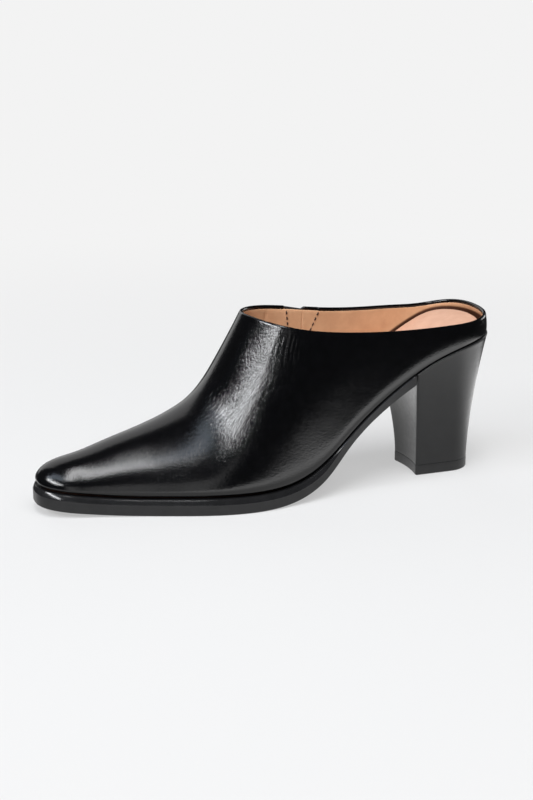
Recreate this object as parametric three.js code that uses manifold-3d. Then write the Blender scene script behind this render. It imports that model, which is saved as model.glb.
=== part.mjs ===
// A heeled mule for the left foot: a pointed, high-vamped slip-on with a low back rim,
// an elastic gore on the inner side, a leather sole with a narrow ledge and a block heel.
// Millimetres. +X runs to the toe, +Y to the outer (little toe) side, +Z up.
import * as THREE from "three";
import { mergeVertices } from "three/addons/utils/BufferGeometryUtils.js";
import Module from "manifold-3d";

const wasm = await Module();
wasm.setup();

// ---- Driving dimensions ----
const LENGTH = 242; // sole, from the back of the seat to the toe tip
const WALL = 2; // outer leather and lining together
const GAP = 0.3; // play between pieces that touch
const SEATED = 0.45; // upright play over the seat, which is about GAP on the steep waist
const LEDGE = 2.2; // how far the sole stands out round the forepart
const UPPER_TIP = LENGTH - LEDGE; // front end of the feather line
const HEEL_CENTRE = 27; // where the round back of the seat begins
const TOE_CENTRE = 221; // where the round of the toe begins
const THROAT = 132.4; // front of the collar
const SEAT_FULLNESS = 2.35; // exponent of the seat's round end
const TOE_FULLNESS = 2.8; // exponent of the toe's round end
const COUNTER_LEAN = 0.21; // how far the upper's back leans forward, for each unit of height
const SWELL_HEIGHT = 6; // height of the fullest part of the wall's swell, where it is tall
const LOW_WALL = 10; // a section this tall has its fullest part half as high

const TREAD_BACK = 138; // the forepart touches the floor between these two
const TREAD_FRONT = 184;
const WAIST_END = 49; // back end of the sole, against the heel
const LEDGE_FADE = [84, 104]; // the ledge grows from nothing between these two

const LIFT = 5.5; // thickness of the rubber top lift
const LIFT_BACK = 6.5; // the lift's back, breast and half width
const LIFT_BREAST = 41.5;
const LIFT_HALF_WIDTH = 13.8;
const HEEL_TAPER = 1.6; // above 1 the block's sides are hollow
const BREAST_HOLLOW = 1.6; // how far the breast is scooped
const BREAST_TOP = WAIST_END - GAP; // the block's front at the seat

const GORE_X = 99; // middle of the notch at the collar
const GORE_WIDTH = 9.5; // width of the notch at the collar
const GORE_DEPTH = 36; // from the collar down to the notch's point
const GORE_RECESS = 0.5; // how far the elastic lies inside the leather's face
const GORE_THICKNESS = 1;
const GORE_DIP = 1; // how far the elastic's edge lies below the collar

const INSOLE = 3.4; // thickness of the insole
const INSOLE_PAD = 1.6; // extra height of its padded heel end
const INSOLE_BACK_GAP = 4; // space left behind it
const INSOLE_SIDE_GAP = 0.8; // space left beside it

// ---- Tables ----
// Outline of the feather line, where the upper meets the sole: half widths to the outer
// and inner side, the crown line's sideways place, how far the section is pinched in, and
// how far the wall swells out over the feather line. Forward of the toe's centre the half
// widths are those of the shape that is then rounded.
const OUTLINE = table("x outer inner crown pinch swell", [
  [0, 28.2, 28.2, 0, 0.02, 0.3],
  [27, 28.2, 28.2, 0, 0.02, 0.3],
  [41, 27.9, 27.2, -0.3, 0.04, 0.4],
  [57, 27.0, 24.8, -0.9, 0.08, 0.6],
  [76, 26.7, 21.9, -1.8, 0.12, 0.8],
  [95, 28.5, 21.7, -2.8, 0.15, 1.0],
  [115, 32.4, 26.0, -3.6, 0.16, 1.1],
  [134, 35.3, 31.7, -4.2, 0.17, 1.1],
  [152, 34.4, 33.8, -4.8, 0.17, 1.1],
  [168, 30.2, 32.0, -5.0, 0.14, 1.1],
  [186, 23.7, 27.8, -4.8, 0.09, 1.1],
  [204, 17.8, 23.0, -4.4, 0.04, 1.0],
  [222, 13.0, 19.0, -4.0, 0.02, 0.9],
  [242, 8.6, 16.6, -4.0, 0, 0.8],
]);

// Side view: height of the feather line, height of the crown line over it and thickness
// of the sole under it. Behind the throat the crown line runs on up, as a shaft's would.
const PROFILE = table("x seat crown sole", [
  [0, 76.2, 358, 5.6],
  [14, 73.8, 330, 5.6],
  [28, 69.6, 302, 5.6],
  [42, 63.5, 274, 5.6],
  [56, 54.6, 246, 5.3],
  [70, 43.9, 218, 5.0],
  [82, 33.4, 194, 5.4],
  [94, 22.3, 170, 7.2],
  [106, 14.0, 146, 7.9],
  [118, 9.8, 122, 8.0],
  [132.4, 8.2, 92.0, 8.0],
  [142, 8.0, 74.0, 8.0],
  [150, 8.0, 60.4, 8.0],
  [158, 8.0, 50.8, 8.0],
  [168, 8.0, 44.2, 8.0],
  [186, 8.0, 37.1, 8.0],
  [204, 8.6, 31.8, 8.1],
  [222, 10.4, 26.6, 8.4],
  [242, 13.2, 25.0, 8.7],
]);

// Height of the collar's edge on the outer and the inner side.
const COLLAR = table("x outer inner", [
  [0, 87.2, 87.7],
  [9, 85.7, 85.3],
  [20, 84.3, 83.3],
  [36, 83.3, 83.4],
  [62, 82.7, 85.0],
  [88, 84.0, 87.8],
  [108, 86.6, 90.4],
  [122, 89.6, 91.6],
  [132.4, 92.0, 92.0],
]);

// ---- Numbers of faces ----
const SIDE_ROWS = 12; // from the feather line up to the crown or the collar
const BACK_STATIONS = 17; // from the throat back to the seat's round
const SEAT_STATIONS = 16; // round the back of the seat
const VAMP_STATIONS = 20; // from the throat to the toe's round
const TOE_STATIONS = 8; // over the toe's round
const ROUND_STEPS = 12; // a quarter of an outline's round end
const HEEL_STEPS = 20; // round the heel, from its back to its breast
const HEEL_COLUMNS = 6; // across the heel, and up it

const WELD = 1e-3; // points nearer than this are one
const FEATHER_REACH = 0.02; // a point this near the seat's height is on the feather line

// ---- Tables and curves ----
function table(names, rows) {
  const columns = {};
  names.split(" ").forEach((name, at) => (columns[name] = rows.map((row) => row[at])));
  const curves = {};
  for (const name of Object.keys(columns)) curves[name] = spline(columns.x, columns[name]);
  return curves;
}

// Natural cubic spline through (xs, ys), straight outside its ends.
function spline(xs, ys) {
  const last = xs.length - 1;
  const bend = new Array(last + 1).fill(0);
  const carry = new Array(last + 1).fill(0);
  for (let i = 1; i < last; i++) {
    const before = xs[i] - xs[i - 1];
    const after = xs[i + 1] - xs[i];
    const jump = (ys[i + 1] - ys[i]) / after - (ys[i] - ys[i - 1]) / before;
    const pivot = 2 * (before + after) - before * carry[i - 1];
    carry[i] = after / pivot;
    bend[i] = (6 * jump - before * bend[i - 1]) / pivot;
  }
  for (let i = last - 1; i > 0; i--) bend[i] -= carry[i] * bend[i + 1];
  return (x) => {
    let i = 0;
    while (i < last - 1 && x > xs[i + 1]) i++;
    const width = xs[i + 1] - xs[i];
    const held = Math.min(Math.max(x, xs[0]), xs[last]);
    const v = (held - xs[i]) / width;
    const u = 1 - v;
    const curl = ((u ** 3 - u) * bend[i] + (v ** 3 - v) * bend[i + 1]) * (width ** 2 / 6);
    const slope = (ys[i + 1] - ys[i]) / width
      + ((1 - 3 * u ** 2) * bend[i] + (3 * v ** 2 - 1) * bend[i + 1]) * (width / 6);
    return u * ys[i] + v * ys[i + 1] + curl + slope * (x - held);
  };
}

function mix(a, b, share) {
  return a + (b - a) * share;
}

function smoothStep(from, to, x) {
  const t = Math.min(Math.max((x - from) / (to - from), 0), 1);
  return t * t * (3 - 2 * t);
}

// ---- The last ----
// A point of the upper's outer face. (across, along, up) is a unit direction seen from the
// middle of the section at station x; reach is how far the round end runs from there,
// forward for the toe, backward for the seat, and 0 between the two.
function skin(x, reach, fullness, across, along, up) {
  const section = Math.hypot(across, up);
  const scale = (Math.abs(along) ** fullness + section ** fullness) ** (-1 / fullness);
  const at = x + reach * along * scale;
  const outer = OUTLINE.outer(at);
  const inner = OUTLINE.inner(at);
  const seat = PROFILE.seat(at);
  const tall = PROFILE.crown(at) - seat;
  const level = up * scale;
  const height = tall * level;
  const full = (SWELL_HEIGHT * tall) / (tall + LOW_WALL);
  const half = (outer + inner) / 2;
  const swell = (OUTLINE.swell(at) / half) * (height / full) * Math.exp(1 - height / full);
  const plan = (1 - OUTLINE.pinch(at) * level ** 2) * (1 + swell);
  const middle = mix((outer - inner) / 2, OUTLINE.crown(at), level ** 2);
  const lean = reach < 0 ? COUNTER_LEAN * height * (along * scale) ** 2 : 0;
  return new THREE.Vector3(
    x + reach * along * scale * plan + lean,
    middle + half * across * scale * plan,
    seat + height,
  );
}

// A column of the back part climbs from the feather line to the collar. turn is the plan
// angle, 0 on the outer side, PI on the inner side, and only the round end uses the rest.
function backPoint(x, turn, climb) {
  const across = Math.cos(turn);
  const along = Math.sin(turn);
  const point = (lift) => skin(
    x, -HEEL_CENTRE, SEAT_FULLNESS,
    Math.cos(lift) * across, Math.cos(lift) * along, Math.sin(lift),
  );
  const over = (lift) => {
    const p = point(lift);
    const held = Math.max(p.x, 0);
    return p.z - mix(COLLAR.inner(held), COLLAR.outer(held), (1 + across) / 2);
  };
  let low = 0;
  let high = Math.PI / 2;
  const halvings = 48;
  for (let i = 0; i < halvings; i++) {
    const middle = (low + high) / 2;
    if (over(middle) > 0) high = middle;
    else low = middle;
  }
  return point(high * climb);
}

// A row of the vamp runs over the crown from the outer to the inner feather line.
function vampPoint(x, lift) {
  return skin(x, 0, 2, Math.cos(lift), 0, Math.sin(lift));
}

// Over the toe the rows turn forward and down on to the feather line at the tip.
function toePoint(lean, lift) {
  return skin(
    TOE_CENTRE, UPPER_TIP - TOE_CENTRE, TOE_FULLNESS,
    Math.cos(lift), Math.sin(lift) * Math.sin(lean), Math.sin(lift) * Math.cos(lean),
  );
}

// ---- Meshes ----
function grid(rows, stations, point) {
  const corners = [];
  for (let i = 0; i <= stations; i++) {
    corners.push([]);
    for (let j = 0; j <= rows; j++) corners[i].push(point(i / stations, j / rows));
  }
  const faces = [];
  for (let i = 0; i < stations; i++) {
    for (let j = 0; j < rows; j++) {
      const [a, b] = [corners[i][j], corners[i + 1][j]];
      const [c, d] = [corners[i + 1][j + 1], corners[i][j + 1]];
      faces.push([a, b, c], [a, c, d]);
    }
  }
  return faces;
}

// Welds triangles given as corner points into an indexed geometry without slivers.
function weld(faces) {
  const positions = faces.flat().flatMap((p) => [p.x, p.y, p.z]);
  const soup = new THREE.BufferGeometry();
  soup.setAttribute("position", new THREE.Float32BufferAttribute(positions, 3));
  const welded = mergeVertices(soup, WELD);
  const index = [];
  for (let i = 0; i < welded.index.count; i += 3) {
    const [a, b, c] = [0, 1, 2].map((k) => welded.index.getX(i + k));
    if (a !== b && b !== c && c !== a) index.push(a, b, c);
  }
  welded.setIndex(index);
  return welded;
}

function pointsOf(geometry) {
  const place = geometry.getAttribute("position");
  return Array.from({ length: place.count }, (_, i) =>
    new THREE.Vector3().fromBufferAttribute(place, i));
}

function facesOf(geometry, points) {
  const faces = [];
  for (let i = 0; i < geometry.index.count; i += 3) {
    faces.push([0, 1, 2].map((k) => points[geometry.index.getX(i + k)]));
  }
  return faces;
}

// The whole outer face of the upper, one open sheet with its normals outward.
function upperSheet() {
  const spread = (t) => t ** 1.25; // closer rows near the feather line
  const backX = (t) => mix(THROAT, HEEL_CENTRE, t ** 1.5); // closer stations at the throat
  const vampLift = (t) => (t < 0.5 ? spread(2 * t) : 2 - spread(2 - 2 * t)) * (Math.PI / 2);
  return weld([
    ...grid(SIDE_ROWS, BACK_STATIONS, (s, t) => backPoint(backX(s), 0, spread(t))),
    ...grid(SIDE_ROWS, SEAT_STATIONS, (s, t) =>
      backPoint(HEEL_CENTRE, Math.PI * s, spread(t))),
    ...grid(SIDE_ROWS, BACK_STATIONS, (s, t) =>
      backPoint(backX(1 - s), Math.PI, spread(t))),
    ...grid(2 * SIDE_ROWS, VAMP_STATIONS, (s, t) =>
      vampPoint(mix(TOE_CENTRE, THROAT, s), vampLift(t))),
    ...grid(2 * SIDE_ROWS, TOE_STATIONS, (s, t) =>
      toePoint((Math.PI / 2) * (1 - s), vampLift(t))),
  ]);
}

// Inward copies of the sheet's points. On the feather line they move level and keep to it.
function inset(sheet, depth) {
  sheet.computeVertexNormals();
  const normal = sheet.getAttribute("normal");
  return pointsOf(sheet).map((p, i) => {
    const n = new THREE.Vector3().fromBufferAttribute(normal, i);
    const onFeather = Math.abs(p.z - PROFILE.seat(p.x)) < FEATHER_REACH;
    if (onFeather) n.setZ(0).normalize();
    const q = p.clone().addScaledVector(n, -depth);
    return onFeather ? q.setZ(PROFILE.seat(q.x)) : q;
  });
}

// Closes two copies of one sheet into a solid, with a strip along every free edge.
function thicken(sheet, outside, inside) {
  const edges = new Map();
  const index = sheet.index.array;
  for (let i = 0; i < index.length; i += 3) {
    for (let k = 0; k < 3; k++) {
      const [a, b] = [index[i + k], index[i + ((k + 1) % 3)]];
      if (!edges.delete(`${b},${a}`)) edges.set(`${a},${b}`, [a, b]);
    }
  }
  const faces = facesOf(sheet, outside);
  for (const [a, b, c] of facesOf(sheet, inside)) faces.push([a, c, b]);
  for (const [a, b] of edges.values()) {
    faces.push([outside[b], outside[a], inside[a]], [outside[b], inside[a], inside[b]]);
  }
  return weld(faces);
}

function toManifold(geometry) {
  return new wasm.Manifold(new wasm.Mesh({
    numProp: 3,
    vertProperties: new Float32Array(geometry.getAttribute("position").array),
    triVerts: new Uint32Array(geometry.index.array),
  }));
}

function fromManifold(solid) {
  const mesh = solid.getMesh();
  const geometry = new THREE.BufferGeometry();
  geometry.setAttribute("position", new THREE.BufferAttribute(mesh.vertProperties, 3));
  geometry.setIndex(new THREE.BufferAttribute(mesh.triVerts, 1));
  return geometry;
}

// The gore's V as an upright wedge through the inner wall, narrower all round by play.
// Its flat top stands `above` over the collar.
function goreWedge(play, above) {
  const side = GORE_WIDTH / 2 / GORE_DEPTH;
  const rim = COLLAR.inner(GORE_X);
  const trim = play * Math.hypot(1, side);
  const reach = GORE_WIDTH / 2 + above * side - trim;
  const v = new THREE.Shape();
  v.moveTo(GORE_X, rim - GORE_DEPTH + trim / side);
  v.lineTo(GORE_X + reach, rim + above);
  v.lineTo(GORE_X - reach, rim + above);
  v.closePath();
  const deep = 60;
  const wedge = new THREE.ExtrudeGeometry(v, { depth: deep, bevelEnabled: false });
  wedge.rotateX(Math.PI / 2);
  wedge.deleteAttribute("normal");
  wedge.deleteAttribute("uv");
  return toManifold(mergeVertices(wedge, WELD));
}

// A closed solid swept out by (along, across, up), each 0 to 1. Across runs from the inner
// to the outer side. An end where both sides meet closes by itself.
function block(alongSteps, acrossSteps, upSteps, point) {
  const turned = (faces) => faces.map(([a, b, c]) => [a, c, b]);
  return weld([
    ...grid(acrossSteps, alongSteps, (u, s) => point(u, s, 1)),
    ...turned(grid(acrossSteps, alongSteps, (u, s) => point(u, s, 0))),
    ...grid(alongSteps, upSteps, (w, u) => point(u, 1, w)),
    ...turned(grid(alongSteps, upSteps, (w, u) => point(u, 0, w))),
    ...grid(upSteps, acrossSteps, (s, w) => point(1, s, w)),
    ...turned(grid(upSteps, acrossSteps, (s, w) => point(0, s, w))),
  ]);
}

// ---- Outlines in plan ----
// side is 1 outer, -1 inner. run is -1 to 0 round the seat, 0 to 1 along the straight part
// that ends at the toe's centre, and 1 to 2 round the toe.
function feather(side, run, start) {
  const turn = (share) => (Math.PI / 2) * share;
  if (run < 0) {
    return skin(HEEL_CENTRE, -HEEL_CENTRE, SEAT_FULLNESS,
      side * Math.cos(turn(-run)), Math.sin(turn(-run)), 0);
  }
  if (run > 1) {
    return skin(TOE_CENTRE, UPPER_TIP - TOE_CENTRE, TOE_FULLNESS,
      side * Math.cos(turn(run - 1)), Math.sin(turn(run - 1)), 0);
  }
  return skin(mix(start, TOE_CENTRE, run), 0, 2, side, 0, 0);
}

// The feather line moved level along its own normal, outward for a positive distance.
function offsetFeather(side, run, start, distance) {
  const p = feather(side, run, start);
  const step = 1e-3;
  const ahead = feather(side, Math.min(run + step, 2), start);
  const behind = feather(side, Math.max(run - step, -1), start);
  const tangent = ahead.sub(behind);
  const normal = new THREE.Vector3(-side * tangent.y, side * tangent.x, 0).normalize();
  if (run === 2) normal.set(1, 0, 0);
  if (run === -1) normal.set(-1, 0, 0);
  return p.addScaledVector(normal, distance(p.x));
}

// ---- Sub-parts ----
function makeUpper(sheet, inside) {
  const shell = toManifold(thicken(sheet, pointsOf(sheet), inside));
  const clearance = 12;
  return fromManifold(shell.subtract(goreWedge(0, clearance)));
}

function makeGore(sheet) {
  const face = inset(sheet, GORE_RECESS);
  const back = inset(sheet, GORE_RECESS + GORE_THICKNESS);
  const shell = toManifold(thicken(sheet, face, back));
  return fromManifold(shell.intersect(goreWedge(GAP, -GORE_DIP)));
}

function makeOutsole() {
  const straight = 34;
  const steps = straight + ROUND_STEPS;
  const ledge = (x) => LEDGE * smoothStep(LEDGE_FADE[0], LEDGE_FADE[1], x);
  const underside = (x) => {
    if (x >= TREAD_BACK && x <= TREAD_FRONT) return 0;
    return Math.max(PROFILE.seat(x) - PROFILE.sole(x), 0);
  };
  return block(steps, 2, 1, (u, s, w) => {
    const at = u * steps;
    const run = at <= straight ? at / straight : 1 + (at - straight) / ROUND_STEPS;
    const inner = offsetFeather(-1, run, WAIST_END, ledge);
    const outer = offsetFeather(1, run, WAIST_END, ledge);
    const p = inner.lerp(outer, s);
    return p.setZ(w > 0 ? PROFILE.seat(p.x) : underside(p.x));
  });
}

function makeInsole() {
  const straight = 30;
  const steps = ROUND_STEPS + straight + ROUND_STEPS;
  const padFade = [12, 48];
  const sideStart = 24; // the gap behind the insole narrows to the side gap by here
  const margin = (x) =>
    -WALL - mix(INSOLE_BACK_GAP, INSOLE_SIDE_GAP, smoothStep(0, sideStart, x));
  const run = (u) => {
    const at = u * steps - ROUND_STEPS;
    if (at < 0) return at / ROUND_STEPS;
    return at <= straight ? at / straight : 1 + (at - straight) / ROUND_STEPS;
  };
  return block(steps, 2, 1, (u, s, w) => {
    const inner = offsetFeather(-1, run(u), HEEL_CENTRE, margin);
    const outer = offsetFeather(1, run(u), HEEL_CENTRE, margin);
    const p = inner.lerp(outer, s);
    const slope = PROFILE.seat(p.x + 0.5) - PROFILE.seat(p.x - 0.5);
    const pad = INSOLE_PAD * (1 - smoothStep(padFade[0], padFade[1], p.x));
    const upright = (INSOLE + pad) * Math.hypot(1, slope);
    return p.setZ(PROFILE.seat(p.x) + w * upright);
  });
}

// Plan point of the heel, u from the back to the breast, between the lift's small D
// (open 0) and the seat's full outline (open 1).
function heelPlan(u, s, open) {
  const roundShare = 0.6;
  const turn = (Math.PI / 2) * (1 - Math.min(u / roundShare, 1));
  const forward = Math.max((u - roundShare) / (1 - roundShare), 0);
  const liftCentre = LIFT_BACK + LIFT_HALF_WIDTH;
  const side = (sign) => {
    const across = sign * Math.cos(turn);
    const along = Math.sin(turn);
    const reach = forward > 0 ? 0 : -HEEL_CENTRE;
    const start = mix(HEEL_CENTRE, BREAST_TOP, forward);
    const top = skin(start, reach, SEAT_FULLNESS, across, along, 0).setZ(0);
    const low = new THREE.Vector3(
      mix(liftCentre, LIFT_BREAST, forward) - LIFT_HALF_WIDTH * along,
      LIFT_HALF_WIDTH * across,
      0,
    );
    return low.lerp(top, open);
  };
  const p = side(-1).lerp(side(1), s);
  p.x -= BREAST_HOLLOW * (1 - (2 * s - 1) ** 2) * forward ** 2;
  return p;
}

function makeHeel() {
  const floor = LIFT + GAP;
  return block(HEEL_STEPS, HEEL_COLUMNS, HEEL_COLUMNS, (u, s, w) => {
    const top = heelPlan(u, s, 1);
    const p = heelPlan(u, s, w ** HEEL_TAPER);
    return p.setZ(mix(floor, PROFILE.seat(top.x), w));
  });
}

function makeTopLift() {
  return block(HEEL_STEPS, HEEL_COLUMNS, 1, (u, s, w) => heelPlan(u, s, 0).setZ(w * LIFT));
}

// ---- Assembly ----
function leather(colour, roughness) {
  return new THREE.MeshStandardMaterial({ color: colour, roughness, metalness: 0 });
}

const sheet = upperSheet();
const pieces = [
  ["upper", makeUpper(sheet, inset(sheet, WALL)), leather(0x14151a, 0.3), SEATED],
  ["gore", makeGore(sheet), leather(0x17171a, 0.85), SEATED],
  ["insole", makeInsole(), leather(0xd9ad8d, 0.7), SEATED],
  ["outsole", makeOutsole(), leather(0x2c2c2e, 0.6), 0],
  ["heel", makeHeel(), leather(0x2a2a2c, 0.45), 0],
  ["top_lift", makeTopLift(), leather(0x1c1c1d, 0.8), 0],
];

const group = new THREE.Group();
for (const [name, geometry, material, rise] of pieces) {
  const mesh = new THREE.Mesh(geometry, material);
  mesh.name = name;
  mesh.position.z = rise;
  group.add(mesh);
}

// The origin is the middle of the floor under the whole shoe.
const box = new THREE.Box3().setFromObject(group);
const centre = box.getCenter(new THREE.Vector3());
group.position.set(-centre.x, -centre.y, -box.min.z);

export default group;
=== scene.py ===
# A black leather mule for the left foot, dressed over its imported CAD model.
# Tables and sizes are in millimetres in the last's own coordinates: x from the back of the
# seat to the toe tip, y to the outer (little toe) side, z up from the floor.
import math

import bmesh
import bpy
import numpy as np
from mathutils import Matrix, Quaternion, Vector


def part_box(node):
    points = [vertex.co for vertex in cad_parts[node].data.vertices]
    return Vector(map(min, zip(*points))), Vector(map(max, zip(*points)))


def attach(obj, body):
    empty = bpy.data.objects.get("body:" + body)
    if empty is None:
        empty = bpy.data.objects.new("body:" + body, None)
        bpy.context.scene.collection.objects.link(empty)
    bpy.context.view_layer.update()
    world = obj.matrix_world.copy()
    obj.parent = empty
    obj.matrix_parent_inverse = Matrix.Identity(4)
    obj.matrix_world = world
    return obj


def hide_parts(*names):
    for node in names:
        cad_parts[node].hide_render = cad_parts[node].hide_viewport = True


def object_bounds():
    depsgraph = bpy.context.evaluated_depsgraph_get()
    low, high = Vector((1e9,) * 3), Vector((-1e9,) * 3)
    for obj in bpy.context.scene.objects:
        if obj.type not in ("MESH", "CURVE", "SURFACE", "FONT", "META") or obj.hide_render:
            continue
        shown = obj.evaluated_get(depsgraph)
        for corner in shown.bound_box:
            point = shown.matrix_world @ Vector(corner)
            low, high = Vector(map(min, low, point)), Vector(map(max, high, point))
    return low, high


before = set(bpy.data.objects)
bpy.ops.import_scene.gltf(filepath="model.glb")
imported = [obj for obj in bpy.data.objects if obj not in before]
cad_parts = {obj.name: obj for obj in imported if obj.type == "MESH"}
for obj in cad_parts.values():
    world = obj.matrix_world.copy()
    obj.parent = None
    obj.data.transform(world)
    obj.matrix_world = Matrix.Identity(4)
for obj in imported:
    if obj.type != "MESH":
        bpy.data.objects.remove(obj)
cad_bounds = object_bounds()

# ---- The last and the CAD's sizes ----
MM = 0.001
LENGTH = 242
WALL = 2.0
RISE = 0.45  # the upper, gore and insole sit this much over the seat
LEDGE = 2.2
LEDGE_FADE = (84, 104)
UPPER_TIP = LENGTH - LEDGE
HEEL_CENTRE = 27
TOE_CENTRE = 221
SEAT_FULLNESS = 2.35
TOE_FULLNESS = 2.8
COUNTER_LEAN = 0.21
SWELL_HEIGHT = 6
LOW_WALL = 10
TREAD = (138, 184)
WAIST_END = 49
LIFT = 5.5
LIFT_BACK = 6.5
LIFT_BREAST = 41.5
LIFT_HALF_WIDTH = 13.8
HEEL_TAPER = 1.6
BREAST_HOLLOW = 1.6
BREAST_TOP = WAIST_END - 0.3
GORE_X = 99
GORE_WIDTH = 9.5
GORE_DEPTH = 36
INSOLE = 3.4

# ---- Sizes of the looks ----
ROLL = 0.95  # radius of the collar's folded edge
FLAP = 1.6  # how far the fold runs down inside
TUCK = 0.8  # radius of the upper's turn under itself, on the sole
TUCK_FLAP = 0.6
GROOVE = ((0.2, 1.3), (0.6, 2.4))  # depth and height of the groove over the seat and the sole
TURN_IN = ((0.6, 0.1), (9, 5))  # and of the broad turn above it
ROW_EASE = 1.25  # rows of the leather crowd towards the sole by this power
GORE_ROLL = 0.35  # radius of the leather's fold under the elastic
GORE_BED = 1.0  # how deep the leather gives way to the elastic
GORE_STEP = 0.7  # width of the leather's rounded edge beside it
GORE_DIP = 2.0  # how far the leather sinks under the elastic at the collar
GORE_FLAP = 9.5  # width of the flap behind the gore, at the collar
FLAP_STEP = 0.4
SEAM_SPREAD = 1 + 2 * GORE_FLAP / GORE_WIDTH  # the flap's seam to the gore's half width
ELASTIC_DEPTH = 0.45
ELASTIC_ROLL = 0.4
ELASTIC_FLAP = 0.8
RIB = 1.1  # pitch of the elastic's ribs
RIB_DEPTH = 0.09
LINING_DROP = 2.0  # the lining starts this far below the collar
LINING_ROLL = 0.35
LINING_FLAP = 0.4
LINING_SEAMS = ((114.5, 0.9, 0.45), (94.3, 0.35, 0.4))  # x, width and depth, on the inner side
LINING_SEAM_FADE = (0.5, 3)  # below the lining's edge
SOCK_EDGE = 2.0  # radius round the insole's edge
SOCK_PAD = 3.2  # extra height of its padded heel end
SOCK_PAD_FADE = (48, 12)  # from the padding's start to its full height
SOCK_MARGIN = (5.0, 1.3)  # the lining to the sock, at its back and its sides
SOCK_MARGIN_FADE = (0, 24)
SOCK_CROWN = 0.9  # how far its padded end rises in the middle
SOCK_CROWN_AHEAD = 0.35  # share of that rise ahead of the padding
SOLE_EDGE = 0.45
SOLE_BEVEL = (1.0, 2.6)  # the ledge's bevel, out and down
SOLE_FOOT = 0.6
HEEL_ROUND = 0.6  # share of the heel's side that runs round its back
HEEL_CORNER = 1.5
HEEL_EDGE = 0.45
LIFT_SEAM = 0.12  # radius of the edges that meet between the block and the lift
LIFT_GAP = 0.08
LIFT_PROUD = 0.05
LIFT_EDGE = 0.45
STITCH = 2.1
STITCH_GAP = 0.9
THREAD = 0.38
WELD = 0.002  # points nearer than this become one
SIDE_ROWS = 100
LINING_ROWS = 40
HALVINGS = 48  # steps of a search by halving

# ---- Studio ----
CAMERA_BEARING = 69.8  # from the toe's direction to the outer side
CAMERA_RISE = 16.4
CAMERA_LENGTHS = 3.2  # distance in lengths of the shoe
LENS = 68
PALE = 0.896  # what the backdrop sends to the camera
FLOOR_LEVEL = -0.0001
FLOOR_SHADE = 0.6
FLOOR_OWN = 0.5  # share of the floor's light that is its own
FLOOR_RADIUS = 1.2
FLOOR_FADE = (0.12, 0.75)  # where the floor passes into the backdrop's even light
MIRROR_RADIUS = 0.21  # of the disc that the shoe's gloss shows in place of the floor
MIRROR_AT = (-0.06, 0, -0.0005)
MIRROR_BACK = -0.02  # it brightens to both sides from its middle, and to the heel from here
MIRROR_REACH = (0.06, 0.12)
MIRROR_GLOW = (0.8, 2.2)  # its strength at the two reaches
BACKDROP = 9.0
ROOM = (0.04, 0.04, 0.043)
LIGHT_AIM = (0, 0, 0.045)
LIGHT_AWAY = 3.0
WHITE = (1.0, 1.0, 1.0)
# name, bearing, elevation, width, height, radiance, colour, roll
LIGHTS = [
    ("key", 26.5, 35.5, 2.45, 0.32, 26.0, (0.97, 0.98, 1.0), -12),
    ("key_high", 4, 44, 1.1, 0.5, 3.5, (0.80, 0.88, 1.0), -6),
    ("sky", 27, 56, 1.7, 0.75, 2.3, (0.74, 0.85, 1.0), -3),
    ("strip", 66, 68, 0.5, 2.1, 10.5, (0.98, 0.99, 1.0), 0),
    ("front", 69, 6, 0.75, 1.8, 0.85, WHITE, 0),
    ("back", 278, 30, 2.1, 3.4, 0.9, WHITE, 0),
    ("rear", 196, 9, 1.6, 1.6, 3.0, WHITE, 0),
]
SOFT = ("soft", 95, 62, 3.0, 3.0, 2.6, WHITE, 0)  # lights, but isn't reflected

# Where the outer side's leather is finely wrinkled, and how far round each place.
FLEX_PLACES = [((129, 18, 70), 34), ((147, 21, 47), 34)]

# Flex creases of the outer side, each from one point of the side view to another: x and z
# of both ends, how far it bows to the toe, the trough's width and its depth.
CREASES_OUTER = [
    (107, 84, 111, 70, 0.8, 0.6, 0.05),
    (109.5, 85.5, 114, 69, 1.0, 0.55, 0.07),
    (111.5, 86, 116.5, 66, 1.2, 0.55, 0.08),
    (113.5, 86.5, 118, 70, 0.8, 0.5, 0.07),
    (115.5, 86.5, 121.5, 66, 1.2, 0.55, 0.09),
    (118, 87, 123.5, 70, 0.8, 0.5, 0.06),
    (120.5, 84, 127, 67, 1.0, 0.5, 0.05),
    (109, 74, 120, 57, 1.8, 0.65, 0.08),
    (112, 70, 125, 52, 2.0, 0.7, 0.09),
    (116, 68, 130, 50, 1.8, 0.65, 0.08),
    (114, 60, 128, 44, 1.6, 0.7, 0.07),
    (120, 66, 135, 50, 1.6, 0.65, 0.06),
    (119, 56, 136, 41, 1.4, 0.7, 0.06),
    (125, 62, 142, 48, 1.4, 0.7, 0.05),
    (128, 52, 146, 40, 1.2, 0.75, 0.05),
    (104, 88, 126, 30, 6.0, 5.0, 0.16),
]
CREASES_INNER = [
    (118, 84, 127, 60, 1.4, 0.6, 0.16),
    (122, 80, 133, 54, 1.4, 0.6, 0.16),
    (112, 60, 126, 40, 1.6, 0.7, 0.14),
    (116, 84, 142, 34, 5.0, 4.5, 0.2),
]

# The CAD's front end and its heel's middle place the last in the frame.
lift_low, lift_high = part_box("top_lift")
ORIGIN = np.array([
    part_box("outsole")[1].x - LENGTH * MM,
    (lift_low.y + lift_high.y) / 2,
    0,
])


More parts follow.
